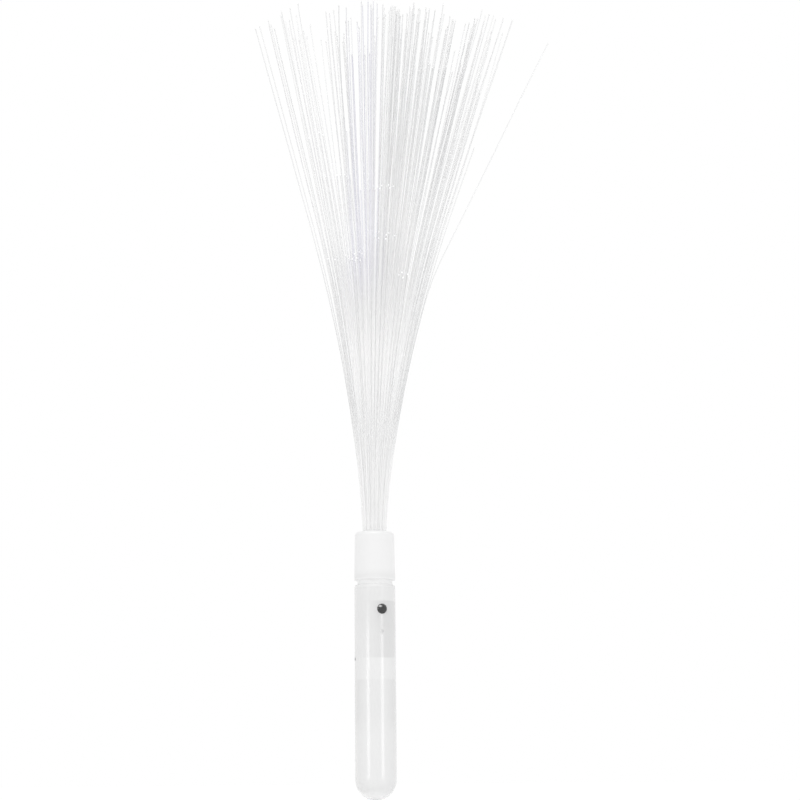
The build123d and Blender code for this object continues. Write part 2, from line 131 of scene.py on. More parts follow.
class Shading:
    """A tree of shader nodes under construction."""

    def __init__(self, tree):
        self.tree = tree

    def node(self, kind, settings, inputs, output=0):
        """Adds a node, its settings first and then its sockets, and returns one of its outputs."""
        node = self.tree.nodes.new("ShaderNode" + kind)
        for name, value in settings.items():
            setattr(node, name, value)
        self.fill(node, inputs)
        return Value(self, node.outputs[output])

    def fill(self, node, inputs):
        """Links a node's sockets to values, or sets them to plain numbers and colours."""
        for name, value in inputs.items():
            if isinstance(value, Value):
                self.tree.links.new(value.socket, node.inputs[name])
            else:
                node.inputs[name].default_value = value


class Finish(Shading):
    """A material under construction, around one Principled shader."""

    def __init__(self, name, colour, constants=None):
        self.material = bpy.data.materials.new(name)
        self.material.use_nodes = True
        self.material.diffuse_color = (*colour, 1.0)
        super().__init__(self.material.node_tree)
        self.surface = self.tree.nodes["Principled BSDF"]
        self.fill(self.surface, {"Base Color": (*colour, 1.0), **(constants or {})})

    @functools.cached_property
    def place(self):
        """The place on the piece, in metres from the wand's origin."""
        return self.node("TexCoord", {}, {}, output="Object")

    def feed(self, **values):
        """Links values to the surface's sockets, named with underscores for spaces."""
        self.fill(self.surface, {name.replace("_", " "): value for name, value in values.items()})

    def along(self, axis):
        """The place along one axis, in metres."""
        return self.node("SeparateXYZ", {}, {"Vector": self.place}, output=axis)

    def noise(self, scale, detail=2.0, stretch=(1.0, 1.0, 1.0)):
        """Noise from 0 to 1 with this many features per metre, over a stretched place."""
        place = self.node("VectorMath", {"operation": "MULTIPLY"}, {0: self.place, 1: stretch})
        return self.node("TexNoise", {}, {"Vector": place, "Scale": scale, "Detail": detail})

    def step(self, value, low, high):
        """0 below low, 1 above high and smooth between them."""
        inputs = {"Value": value, "From Min": low, "From Max": high, "To Min": 0.0, "To Max": 1.0}
        return self.node("MapRange", {"interpolation_type": "SMOOTHSTEP"}, inputs)

    def band(self, value, low, high, soft=MM):
        """1 from low to high, and 0 further out than the soft ends."""
        return self.step(value, low - soft, low) * (1.0 - self.step(value, high, high + soft))

    def blend(self, share, first, second):
        """A colour between two colours."""
        inputs = {0: share, 6: self.colour(first), 7: self.colour(second)}
        return self.node("Mix", {"data_type": "RGBA"}, inputs, output=2)

    @staticmethod
    def colour(value):
        return value if isinstance(value, Value) else (*value, 1.0)

    def bump(self, height, depth, strength):
        """Feeds the surface's Normal from a height of 0 to 1 that stands for this depth in metres."""
        inputs = {"Height": height, "Distance": depth, "Strength": strength}
        self.feed(Normal=self.node("Bump", {}, inputs, output="Normal"))


# ---- sizes and colours that a user would change ----


def colour_setting(name, description, default):
    return bpy.props.FloatVectorProperty(
        name=name, description=description, default=default, subtype="COLOR", min=0.0, max=1.0
    )


def length_setting(name, description, default):
    return bpy.props.FloatProperty(name=name, description=description, default=default, unit="LENGTH")


def share_setting(name, description, default):
    return bpy.props.FloatProperty(
        name=name, description=description, default=default, subtype="FACTOR", min=0.0, max=1.0
    )


def number_setting(name, description, default):
    return bpy.props.FloatProperty(name=name, description=description, default=default)


def count_setting(name, description, default, least):
    return bpy.props.IntProperty(name=name, description=description, default=default, min=least)


def angle_setting(name, description, default):
    return bpy.props.FloatProperty(
        name=name, description=description, default=math.radians(default), subtype="ANGLE"
    )


class HandleSettings(bpy.types.PropertyGroup):
    milk: colour_setting("Milk", "Colour of the milky tube", (0.96, 0.96, 0.96))
    # The colour of the painted shade where the module lies behind the wall and at the tube's sides.
    shade: colour_setting("Shade", "Colour where the module darkens the wall", (0.815, 0.815, 0.815))
    gloss: share_setting("Gloss roughness", "Roughness of the tube's polished skin", 0.24)
    see_through: share_setting("See-through", "Share of light that passes one skin of the wall", 0.06)
    # The level of the painted glow on the round end.
    painted_end_glow: share_setting("End glow", "Level of the light that the round end gathers from the tube", 0.13)
    cap: colour_setting("Cap", "Colour of the satin head cap", (0.955, 0.955, 0.955))
    cap_roughness: share_setting("Cap roughness", "Roughness of the head cap", 0.42)
    button: colour_setting("Button", "Colour of the push button", (0.012, 0.012, 0.013))


class FibreSettings(bpy.types.PropertyGroup):
    gauge: length_setting("Gauge", "Radius of a fibre", 0.25 * MM)
    tip_gauge: share_setting("Tip gauge", "Share of the radius left at a fibre's tip", 0.9)
    sway: length_setting("Sway", "How far a fibre bows away from its even curve", 1.6 * MM)
    tufts: count_setting("Tufts", "Fibres that others gather round", 60, 1)
    gather: share_setting("Gather", "Share of the way that a fibre's top bends to its tuft", 0.5)
    lean: length_setting("Lean", "How far the fan's top bends to the right", 2.3 * MM)
    sides: count_setting("Sides", "Sides of a fibre's tube", 8, 3)
    rings: count_setting("Rings", "Rings along a fibre", 36, 8)
    # The frosted end is white, and below the fan's top it carries a painted glint.
    frosted: length_setting("Frosted end", "Length of a fibre's bright, slightly swollen cut end", 0.8 * MM)
    end_gauge: share_setting("End gauge", "Share of the radius that the cut end swells to", 1.0)
    packed: colour_setting("Packed", "Colour low down, where the fibres lie together", (0.97, 0.97, 0.97))
    spread: colour_setting("Spread", "Colour of a fibre that stands by itself", (0.80, 0.80, 0.805))
    # The colour of the painted shade on the outermost fibres.
    skin: colour_setting("Skin", "Colour of the outermost fibres of the bundle", (0.60, 0.60, 0.605))
    violet: colour_setting("Violet", "Faint tint of some fibres", (0.86, 0.845, 1.0))
    clear: share_setting("Clear", "Share of light that passes a fibre that stands by itself", 0.65)
    # The level of the painted glow on the packed fibres.
    glow: share_setting("Glow", "Level of the light that packed fibres lead out between them", 0.14)


class StudioSettings(bpy.types.PropertyGroup):
    camera_distance: length_setting("Camera distance", "From the wand's axis to the camera", 0.9)
    camera_side: length_setting("Camera side", "How far the camera stands to the right", 11.4 * MM)
    camera_height: length_setting("Camera height", "Of the camera above the floor", 8.0 * MM)
    camera_pitch: angle_setting("Camera pitch", "How far the camera looks up", 10.2005)
    camera_roll: angle_setting("Camera roll", "How far the camera leans to the right", 0.5)
    lens: number_setting("Lens", "Focal length in millimetres", 95.3)
    light_distance: length_setting("Light distance", "From the wand to each light", 1.1)
    low_turn: angle_setting("Low lights' turn", "Angle of each low light from the camera's side", 40.0)
    low_width: length_setting("Low lights' width", "Width of a low light", 0.3)
    low_height: length_setting("Low lights' height", "Height of a low light, upwards from the floor", 0.16)
    low_power: number_setting("Low lights' power", "Power of a low light in watts", 0.34)
    key_turn: angle_setting("Key light's turn", "Angle of the key light towards the right", 7.0)
    key_rise: angle_setting("Key light's rise", "Angle of the key light above the level", 48.0)
    key_size: length_setting("Key light's size", "Side of the square key light", 0.2)
    key_power: number_setting("Key light's power", "Power of the key light in watts", 0.6)
    glint_turn: angle_setting("Glint light's turn", "Angle of the glint light towards the right", -8.0)
    glint_width: length_setting("Glint light's width", "Width of the light that only gloss shows", 0.9)
    glint_height: length_setting("Glint light's height", "Height of the light that only gloss shows", 0.6)
    glint_power: number_setting("Glint light's power", "Power of the glint light in watts", 15.0)
    ambient: share_setting("Ambient", "Level of the soft light from all around", 0.88)
    floor_radius: length_setting("Floor radius", "Radius of the round floor", 4.0)
    floor_glow: share_setting("Floor glow", "Share of the floor's white that no shadow darkens", 0.88)


SETTINGS = {
    "wand_handle": HandleSettings,
    "wand_fibres": FibreSettings,
    "wand_studio": StudioSettings,
}


# ---- finishes ----


def milky_plastic(looks):
    """Glossy milky tube with painted shade where the module lies behind its wall and at its sides, a faint
    real sight of the module through the wall, and a painted glow on its round end.
    """
    constants = {"IOR": 1.49, "Coat Roughness": 0.07, "Emission Strength": 1.0}
    finish = Finish("milky_plastic", tuple(looks.milk), constants)
    height, side = finish.along("Z"), finish.along("X")

    # Masks for painted shade where the module's parts lie behind the wall and at the tube's sides, and for
    # painted light on the round end, where nothing does.
    sides = finish.step(side.maths("ABSOLUTE", side), 0.4 * HANDLE_RADIUS, 0.95 * HANDLE_RADIUS)
    collar_shade = finish.step(height, BOARD_HIGH.z, BOARD_HIGH.z + MM)
    board = finish.band(height, BOARD_LOW.z + MM, BOARD_HIGH.z)
    board = board * (0.3 + 0.7 * finish.step(side, -4 * MM, 6 * MM))
    board = board * (0.75 + 0.25 * finish.step(height, BOARD_HIGH.z - 14 * MM, BOARD_HIGH.z - 7 * MM))
    cells = finish.step(height, STACK_LOW - 9 * MM, STACK_LOW + 3 * MM)
    cells = cells * (1.0 - finish.step(height, STACK_HIGH, STACK_HIGH + MM))
    # Painted shade on the tube's left and right sides, below the board.
    below = sides * (1.0 - finish.step(height, BOARD_LOW.z, BOARD_LOW.z + MM))
    # Painted light: the round end is painted white and given a painted glow.
    end = 1.0 - finish.step(height, HANDLE_LOW.z, HANDLE_LOW.z + 5 * MM)
    rim = finish.step(height, HANDLE_HIGH.z - 1.6 * MM, HANDLE_HIGH.z - MM)

    cloud = finish.noise(90.0, detail=3.0, stretch=(1.0, 1.0, 0.35))
    fine = finish.noise(900.0)
    # Painted shade of the board, the cells, the sides and the collar, with a random cloud, darkens the milk
    # towards the shade colour.
    shade = board * 1.15 + cells * (0.2 + sides * 0.2) + below * 0.3 + collar_shade * 0.3 + (cloud - 0.5) * 0.2
    wall = finish.blend(shade.clamped(), looks.milk, looks.shade)
    finish.feed(
        Base_Color=finish.blend(end, wall, WHITE),
        Emission_Color=finish.blend(end, BLACK, (looks.painted_end_glow,) * 3),
        Roughness=looks.gloss + (fine - 0.5) * 0.06 + rim * 0.3,
        Coat_Weight=(0.8 + fine * 0.2) * (1.0 - rim),
        Alpha=1.0 - looks.see_through * (0.8 + cloud * 0.4),
    )
    finish.bump(finish.noise(220.0), 0.02 * MM, 0.3)
    return finish.material


def cap_plastic(looks):
    """Satin white moulding with a fine grain, with painted shade towards its lower edge and painted light
    that whitens its plug.
    """
    finish = Finish("cap_plastic", tuple(looks.cap), {"IOR": 1.49, "Specular IOR Level": 0.3})
    grain = finish.noise(2600.0)
    cloud = finish.noise(70.0)
    height = finish.along("Z")
    # Painted light: the plug, seen in the groove under the cap, is painted whiter than the cap.
    plug = 1.0 - finish.step(height, PLUG_TOP - 0.5 * MM, PLUG_TOP + MM)
    # Painted shade, darker towards the cap's lower edge.
    edge = 1.0 - finish.step(height, PLUG_TOP + MM, PLUG_TOP + 5 * MM)
    moulding = finish.blend(cloud * 0.25, looks.cap, tuple(0.975 * c for c in looks.cap))
    moulding = finish.blend(edge, moulding, tuple(0.94 * c for c in looks.cap))
    finish.feed(
        Base_Color=finish.blend(plug, moulding, tuple(1.02 * c for c in looks.cap)),
        Roughness=looks.cap_roughness + (grain - 0.5) * 0.12,
    )
    finish.bump(grain, 0.012 * MM, 0.5)
    return finish.material


def button_plastic(looks):
    """Nearly black polished button, worn a little at its crown."""
    finish = Finish("button_plastic", tuple(looks.button), {"IOR": 1.5, "Coat Roughness": 0.08})
    scuffs = finish.noise(3000.0, detail=3.0, stretch=(1.0, 1.0, 0.3))
    worn = finish.step(scuffs, 0.55, 0.75)
    finish.feed(
        Base_Color=finish.blend(worn, looks.button, (0.05, 0.05, 0.052)),
        Roughness=0.16 + scuffs * 0.12,
        Coat_Weight=0.5 - worn * 0.2,
    )
    finish.bump(scuffs, 0.006 * MM, 0.4)
    return finish.material


def steel(name, colour, roughness, stretch=(1.0, 1.0, 1.0)):
    """Drawn or pressed steel with fine lines."""
    finish = Finish(name, colour, {"Metallic": 1.0})
    lines = finish.noise(1400.0, detail=3.0, stretch=stretch)
    stain = finish.noise(160.0)
    finish.feed(
        Base_Color=finish.blend(stain * 0.6, colour, tuple(0.8 * c for c in colour)),
        Roughness=roughness + (lines - 0.5) * 0.2,
    )
    finish.bump(lines, 0.01 * MM, 0.4)
    return finish.material


def moulded(name, colour, roughness, grain_scale=1800.0):
    """Plain moulded plastic with a fine grain and slight flow marks."""
    finish = Finish(name, colour)
    grain = finish.noise(grain_scale)
    flow = finish.noise(120.0, stretch=(1.0, 1.0, 0.4))
    finish.feed(
        Base_Color=finish.blend(flow * 0.6, colour, tuple(0.86 * c for c in colour)),
        Roughness=roughness + (grain - 0.5) * 0.15,
    )
    finish.bump(grain, 0.012 * MM, 0.5)
    return finish.material


def clear_plastic(name, colour, opacity):
    """Clear tinted resin with faint swirls."""
    finish = Finish(name, colour, {"IOR": 1.52})
    swirl = finish.noise(400.0, detail=3.0)
    finish.feed(
        Base_Color=finish.blend(swirl * 0.5, colour, tuple(min(1.0, 1.15 * c) for c in colour)),
        Roughness=0.12 + swirl * 0.08,
        Alpha=opacity + (swirl - 0.5) * 0.1,
    )
    return finish.material


def board_laminate():
    """Green lacquered board with tinned tracks under the lacquer."""
    colour = (0.05, 0.22, 0.11)
    finish = Finish("board_laminate", colour)
    from_edge = finish.node(
        "TexVoronoi", {"feature": "DISTANCE_TO_EDGE"}, {"Vector": finish.place, "Scale": 420.0}
    )
    track = 1.0 - finish.step(from_edge, 0.06, 0.09)
    weave = finish.noise(2400.0, stretch=(1.0, 1.0, 0.2))
    finish.feed(
        Base_Color=finish.blend(track * 0.55, colour, (0.16, 0.40, 0.20)),
        Roughness=0.32 + weave * 0.15,
    )
    finish.bump(track, 0.03 * MM, 0.6)
    return finish.material


def fibre_acrylic(looks):
    """Clear drawn fibre: pale where packed, greyer by itself, with painted shade on the bundle's outer
    fibres, a painted glow where the fibres are packed, and a bright frosted cut end with a painted glint
    below the fan's top.
    """
    finish = Finish("fibre_acrylic", tuple(looks.spread), {"IOR": 1.49, "Emission Strength": 1.0})
    lot, outer, from_tip = [
        finish.node("Attribute", {"attribute_name": name}, {}, output="Fac") for name in FIBRE_ATTRIBUTES
    ]
    streak = finish.noise(1100.0, stretch=(1.0, 1.0, 0.03))
    side = finish.along("X")
    rise = finish.along("Z") - CAP_HIGH.z

    # How the bundle changes as it rises from the cap: bent outwards, loosened, then each fibre apart.
    bent = finish.step(rise, 25 * MM, 62 * MM)
    still_packed = 1.0 - finish.step(rise, 116 * MM, 135 * MM)
    loosening = finish.step(rise, 70 * MM, 112 * MM) * still_packed
    apart = finish.step(rise, 90 * MM, 200 * MM)

    # Which fibres stand out: painted shade on the bundle's skin, a darker lock on the right and violet ones
    # in the middle.
    skin = bent * still_packed * finish.step(outer, 0.83, 0.965)
    dark_lock = apart * finish.band(side / rise, 0.16, 0.19, 0.025)
    violet = finish.band(side, -8 * MM, 2 * MM, 5 * MM) * finish.step(lot, 0.35, 0.75)
    violet = violet * finish.band(rise, 120 * MM, 225 * MM, 25 * MM)

    # Cut ends are frosted white, and below the fan's top they also carry a painted glint of emitted light.
    frost = 1.0 - finish.step(from_tip, looks.frosted * 0.6, looks.frosted)
    painted_end_glint = frost * (1.0 - finish.step(rise, 190 * MM, 205 * MM))

    tone = apart * (0.42 + lot * 0.6) + loosening * (lot * 0.3 + outer * 0.35) + (streak - 0.5) * 0.3
    tone = (tone + dark_lock * 0.35).clamped()
    clear = finish.blend(tone, looks.packed, looks.spread)
    # Painted shade on the bundle's outer fibres.
    clear = finish.blend(skin * (0.35 + lot * 0.4), clear, looks.skin)
    clear = finish.blend(violet * 0.42, clear, looks.violet)

    # Painted glow: fibres emit light low in the bundle, more where it bends out and less on its outer
    # fibres and painted-shade skin.
    lit = 1.0 - finish.step(rise, 55 * MM, 196 * MM - outer * (45 * MM))
    lit = lit * (0.7 + bent * (0.54 - outer * 0.28)) * (1.0 - skin * 0.4)

    seen_through = 0.55 + finish.step(rise, 45 * MM, 130 * MM) * 0.45
    opacity = 1.0 - seen_through * looks.clear + (lot - 0.5) * 0.35 * apart
    opacity = opacity + frost * 0.5 - skin * 0.15 + dark_lock * 0.1
    finish.feed(
        Base_Color=finish.blend(frost, clear, WHITE),
        Emission_Color=finish.blend((lit + painted_end_glint).clamped(), BLACK, (looks.glow,) * 3),
        Roughness=0.16 + streak * 0.14 + frost * 0.4,
        Alpha=opacity.clamped(),
    )
    return finish.material


def wire_insulation(name, colour):
    """Soft wire insulation, slightly uneven."""
    finish = Finish(name, colour)
    waves = finish.noise(900.0)
    finish.feed(
        Base_Color=finish.blend(waves, colour, tuple(0.7 * c for c in colour)),
        Roughness=0.38 + waves * 0.15,
    )
    finish.bump(waves, 0.02 * MM, 0.5)
    return finish.material


def dress(finish, *nodes):
    """Gives CAD nodes a finish."""
    for name in nodes:
        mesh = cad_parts[name].data
        mesh.materials.clear()
        mesh.materials.append(finish)


# ---- fibres ----


def fibre_routes(node):
    """Centre lines of a node's fibres, each an array of points from its lit end to its tip."""
    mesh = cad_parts[node].data
    places = np.zeros(len(mesh.vertices) * 3, np.float32)
    mesh.vertices.foreach_get("co", places)
    weld = 1e-6
    places, merged = np.unique(
        np.round(places.reshape(-1, 3).astype(float) / weld), axis=0, return_inverse=True
    )
    edges = np.zeros(len(mesh.edges) * 2, np.int64)
    mesh.edges.foreach_get("vertices", edges)
    edges = merged.reshape(-1)[edges].reshape(-1, 2)
    island = np.arange(len(places))
    settled = False
    while not settled:
        lowest = island[edges].min(axis=1)
        joined = island.copy()
        np.minimum.at(joined, edges[:, 0], lowest)
        np.minimum.at(joined, edges[:, 1], lowest)
        joined = joined[joined]
        settled = bool((joined == island).all())
        island = joined
    ring_gap = 0.3 * MM / weld
    routes = []
    for label in np.unique(island):
        points = places[island == label]
        points = points[np.argsort(points[:, 2])]
        cuts = np.flatnonzero(np.diff(points[:, 2]) > ring_gap) + 1
        routes.append(np.array([ring.mean(axis=0) for ring in np.split(points, cuts)]) * weld)
    return sorted(routes, key=lambda route: tuple(np.round(route[0], 6)))


def swayed(route, looks, chance):
    """A fibre's centre line with the slight bow of drawn plastic and closer rings at its tip."""
    end_rings = 5
    ripple_share = 0.35
    fewest_waves, most_waves = 1.4, 2.6
    lengths = np.concatenate([[0.0], np.cumsum(np.linalg.norm(np.diff(route, axis=0), axis=1))])
    whole = lengths[-1]
    below_end = np.linspace(0.0, 1.0 - 2 * looks.frosted / whole, looks.rings - end_rings)
    end = 1.0 - np.linspace(looks.frosted, 0.0, end_rings) / whole
    share = np.concatenate([below_end, end])
    line = np.stack([np.interp(share * whole, lengths, route[:, axis]) for axis in range(3)], axis=1)
    held = lengths[1] / whole
    free = np.clip((share - 2 * held) / (1.0 - 2 * held), 0.0, 1.0)
    turn = chance.uniform(0.0, 2 * math.pi)
    bow = chance.uniform(-1.0, 1.0) * np.sin(math.pi * free) * free
    ripple = ripple_share * chance.uniform(-1.0, 1.0) * free
    ripple = ripple * np.sin(2 * math.pi * free * chance.uniform(fewest_waves, most_waves))
    reach = looks.sway * whole / (BUNDLE_HIGH.z - BUNDLE_LOW.z)
    line[:, 0] += reach * (bow * math.cos(turn) + ripple * math.sin(turn))
    line[:, 1] += reach * (bow * math.sin(turn) - ripple * math.cos(turn))
    return line, whole * (1.0 - share)


def tube(line, radii, sides):
    """Rings of points around a line, each square to it."""
    ahead = np.gradient(line, axis=0)
    ahead /= np.linalg.norm(ahead, axis=1)[:, None]
    across = np.cross(ahead, (0.0, 1.0, 0.0))
    across /= np.linalg.norm(across, axis=1)[:, None]
    upward = np.cross(ahead, across)
    turns = (np.arange(sides) * 2 * math.pi / sides)[None, :, None]
    circle = np.cos(turns) * across[:, None, :] + np.sin(turns) * upward[:, None, :]
    return (line[:, None, :] + radii[:, None, None] * circle).reshape(-1, 3)


def tube_faces(rings, sides, first):
    """Quads between a tube's rings and a face over each end."""
    faces = []
    for ring in range(rings - 1):
        for side in range(sides):
            here = first + ring * sides
            beside = (side + 1) % sides
            faces.append((here + side, here + beside, here + sides + beside, here + sides + side))
    faces.append(tuple(first + side for side in reversed(range(sides))))
    faces.append(tuple(first + (rings - 1) * sides + side for side in range(sides)))
    return faces


def level_place(route, height):
    """Where a line that runs upwards passes a height, or each of some heights, as x and y."""
    return np.stack([np.interp(height, route[:, 2], route[:, axis]) for axis in (0, 1)], axis=-1)


def tuft_leaders(routes, looks, chance):
    """Long fibres that their neighbours lean to, each with the tone of its tuft."""
    longest = sorted(routes, key=lambda route: route[-1, 2], reverse=True)[: len(routes) * 2 // 3]
    return [(route, chance.random()) for route in chance.sample(longest, looks.tufts)]


def gathered(line, leaders, looks):
    """A fibre's line bent at its top towards the nearest leader and to the right, and its tuft's tone."""
    meeting = CAP_HIGH.z + 100 * MM
    bend_power = 1.5
    here = level_place(line, meeting)
    leader, tone = min(leaders, key=lambda pair: np.linalg.norm(level_place(pair[0], meeting) - here))
    free = np.clip((line[:, 2] - CAP_HIGH.z) / (BUNDLE_HIGH.z - CAP_HIGH.z), 0.0, 1.0) ** bend_power
    pull = looks.gather * free[:, None] * (level_place(leader, line[:, 2]) - line[:, :2])
    pull[:, 0] += looks.lean * free
    return np.column_stack([line[:, :2] + pull, line[:, 2]]), tone


def fibre_piece(node, routes, leaders, finish, looks, chance):
    """One piece with every fibre of a node, drawn a little unevenly."""
    lone_tone = 0.4
    thinning = BUNDLE_HIGH.z / 2
    square_end = 0.1
    points, faces, values = [], [], {name: [] for name in FIBRE_ATTRIBUTES}
    for route in routes:
        line, left = swayed(route, looks, chance)
        tone = lone_tone
        if leaders:
            line, tone = gathered(line, leaders, looks)
            tone = 0.5 * (tone + chance.random())
        taper = looks.tip_gauge + (1.0 - looks.tip_gauge) * np.clip(left / thinning, 0.0, 1.0)
        swell = np.sin(math.pi * np.clip(1.0 + square_end - left / looks.frosted, 0.0, 1.0)) ** 0.5
        taper = taper + (looks.end_gauge - taper) * swell
        faces += tube_faces(looks.rings, looks.sides, len(points) * looks.rings * looks.sides)
        points.append(np.clip(tube(line, looks.gauge * taper, looks.sides), *cad_box))
        place = np.linalg.norm(route[0, :2]) / (BUNDLE_FOOT_RADIUS - looks.gauge)
        for name, value in zip(FIBRE_ATTRIBUTES, (tone, place, left)):
            values[name].append(np.repeat(np.broadcast_to(value, left.shape), looks.sides))
    mesh = bpy.data.meshes.new(node + "_drawn")
    mesh.from_pydata(np.concatenate(points).tolist(), [], faces)
    for name, parts in values.items():
        attribute = mesh.attributes.new(name, "FLOAT", "POINT")
        attribute.data.foreach_set("value", np.concatenate(parts).astype(np.float32))
    mesh.shade_smooth()
    mesh.materials.append(finish)
    piece = bpy.data.objects.new(node + "_drawn", mesh)
    bpy.context.scene.collection.objects.link(piece)
    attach(piece, "head")
    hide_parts(node)


# ---- studio ----


def white_for_sight(shading):
    """1 for camera, glossy and transmission rays, which see the background, and 0 for light."""
    camera, glossy, through = [
        shading.node("LightPath", {}, {}, output=name)
        for name in ("Is Camera Ray", "Is Glossy Ray", "Is Transmission Ray")
    ]
    return (camera + glossy + through).clamped()


def white_surround(looks):
    """World that is white to sight and softer as a light."""
    world = bpy.data.worlds.new("white_surround")
    world.use_nodes = True
    shading = Shading(world.node_tree)
    level = looks.ambient + (1.0 - looks.ambient) * white_for_sight(shading)
    shading.fill(shading.tree.nodes["Background"], {"Color": (*WHITE, 1.0), "Strength": level})
    bpy.context.scene.world = world


def floor_finish(looks):
    """Matt white floor that shows white and keeps a shadow."""
    finish = Finish("studio_floor", (0.92, 0.92, 0.92), {"Roughness": 0.9, "Specular IOR Level": 0.0})
    matt = Value(finish, finish.surface.outputs["BSDF"])
    glow = finish.node("Emission", {}, {"Strength": 1.06})
    share = white_for_sight(finish) * looks.floor_glow
    seen = finish.node("MixShader", {}, {0: share, 1: matt, 2: glow})
    finish.fill(finish.tree.nodes["Material Output"], {"Surface": seen})
    return finish.material


def studio_floor(looks):
    """Round floor under the handle's closed end."""
    sides = 96
    turns = [2 * math.pi * side / sides for side in range(sides)]
    reach = looks.floor_radius
    rim = [(reach * math.cos(turn), reach * math.sin(turn), HANDLE_LOW.z) for turn in turns]
    mesh = bpy.data.meshes.new("studio_floor")
    mesh.from_pydata(rim, [], [tuple(range(sides))])
    mesh.materials.append(floor_finish(looks))
    floor = bpy.data.objects.new("studio_floor", mesh)
    bpy.context.scene.collection.objects.link(floor)


def area_light(name, turn, rise, middle, size, power, looks):
    """Area light at a turn from the camera's side and a rise, facing a height on the wand's axis."""
    light = bpy.data.lights.new(name, "AREA")
    light.shape = "RECTANGLE"
    light.size, light.size_y = size
    light.energy = power
    lamp = bpy.data.objects.new(name, light)
    level = looks.light_distance * math.cos(rise)
    lamp.location = (
        level * math.sin(turn), -level * math.cos(turn), middle + looks.light_distance * math.sin(rise)
    )
    lamp.rotation_euler = (math.pi / 2 - rise, 0.0, turn)
    lamp.visible_camera = False
    bpy.context.scene.collection.objects.link(lamp)
    return lamp


def studio_camera(looks):
    """Long lens near the floor, looking slightly up."""
    camera = bpy.data.cameras.new("studio_camera")
    camera.lens = looks.lens
    holder = bpy.data.objects.new("studio_camera", camera)
    holder.location = (looks.camera_side, -looks.camera_distance, HANDLE_LOW.z + looks.camera_height)
    raised = Matrix.Rotation(math.pi / 2 + looks.camera_pitch, 4, "X")
    holder.rotation_euler = (raised @ Matrix.Rotation(-looks.camera_roll, 4, "Z")).to_euler()
    bpy.context.scene.collection.objects.link(holder)
    bpy.context.scene.camera = holder


# ---- operators ----


class WAND_OT_studio(bpy.types.Operator):
    """Sets the camera, the lights, the white surround and the floor"""

    bl_idname = "wand.studio"
    bl_label = "Set the studio"

    def execute(self, context):
        looks = context.scene.wand_studio
        context.scene.view_settings.view_transform = "Standard"
        studio_camera(looks)
        white_surround(looks)
        studio_floor(looks)
        low_middle = HANDLE_LOW.z + looks.low_height / 2
        low_size = (looks.low_width, looks.low_height)
        for name, turn in (("low_left", -looks.low_turn), ("low_right", looks.low_turn)):
            area_light(name, turn, 0.0, low_middle, low_size, looks.low_power, looks)
        key_size = (looks.key_size, looks.key_size)
        area_light("key", looks.key_turn, looks.key_rise, HANDLE_HIGH.z, key_size, looks.key_power, looks)
        glint_size = (looks.glint_width, looks.glint_height)
        glint = area_light(
            "glint", looks.glint_turn, looks.key_rise, HANDLE_HIGH.z, glint_size, looks.glint_power, looks
        )
        glint.visible_diffuse = False
        return {"FINISHED"}


class WAND_OT_handle(bpy.types.Operator):
    """Finishes the milky handle tube and the steel pin in its wall"""

    bl_idname = "wand.handle"
    bl_label = "Finish the handle"

    def execute(self, context):
        dress(milky_plastic(context.scene.wand_handle), "handle_tube")
        dress(steel("pin_steel", (0.20, 0.20, 0.21), roughness=0.34), "retaining_pin")
        return {"FINISHED"}


class WAND_OT_button(bpy.types.Operator):
    """Finishes the push button"""

    bl_idname = "wand.button"
    bl_label = "Finish the button"

    def execute(self, context):
        dress(button_plastic(context.scene.wand_handle), "push_button")
        return {"FINISHED"}


class WAND_OT_head(bpy.types.Operator):
    """Finishes the head cap, and the sleeve and glue that hold the bundle in it"""

    bl_idname = "wand.head"
    bl_label = "Finish the head"

    def execute(self, context):
        dress(cap_plastic(context.scene.wand_handle), "head_cap")
        dress(moulded("sleeve_plastic", (0.80, 0.80, 0.79), roughness=0.4), "bundle_sleeve")
        dress(clear_plastic("clear_glue", (0.88, 0.87, 0.82), opacity=0.6), "bundle_glue")
        return {"FINISHED"}


class WAND_OT_fibres(bpy.types.Operator):
    """Draws every fibre along its route, with its bow, taper and cut end"""

    bl_idname = "wand.fibres"
    bl_label = "Draw the fibres"

    def execute(self, context):
        looks = context.scene.wand_fibres
        finish = fibre_acrylic(looks)
        chance = random.Random(SCATTER_SEED)
        routes = {node: fibre_routes(node) for node in FAN_NODES}
        leaders = tuft_leaders([route for fan in routes.values() for route in fan], looks, chance)
        for node in FAN_NODES:
            fibre_piece(node, routes[node], leaders, finish, looks, chance)
        fibre_piece("stray_fibre", fibre_routes("stray_fibre"), [], finish, looks, chance)
        return {"FINISHED"}


class WAND_OT_module(bpy.types.Operator):
    """Finishes the frame that holds the module and the lid over its cells"""

    bl_idname = "wand.module"
    bl_label = "Finish the module"

    def execute(self, context):
        frame_plastic = moulded("frame_plastic", (0.82, 0.82, 0.80), roughness=0.5)
        dress(frame_plastic, "module_frame", "battery_lid")
        return {"FINISHED"}


class WAND_OT_battery(bpy.types.Operator):
    """Finishes the three button cells and their contacts"""

    bl_idname = "wand.battery"
    bl_label = "Finish the battery"

    def execute(self, context):
        cell_steel = steel("cell_steel", (0.74, 0.74, 0.73), roughness=0.26, stretch=(1.0, 1.0, 0.05))
        nickel = steel("nickel_plate", (0.72, 0.70, 0.66), roughness=0.24, stretch=(0.1, 1.0, 1.0))
        dress(cell_steel, *BATTERY_NODES)
        dress(nickel, "negative_contact", "negative_spring", "positive_contact")
        return {"FINISHED"}


class WAND_OT_boards(bpy.types.Operator):
    """Finishes the control board and the light board"""

    bl_idname = "wand.boards"
    bl_label = "Finish the boards"

    def execute(self, context):
        dress(board_laminate(), "control_board", "light_board")
        return {"FINISHED"}


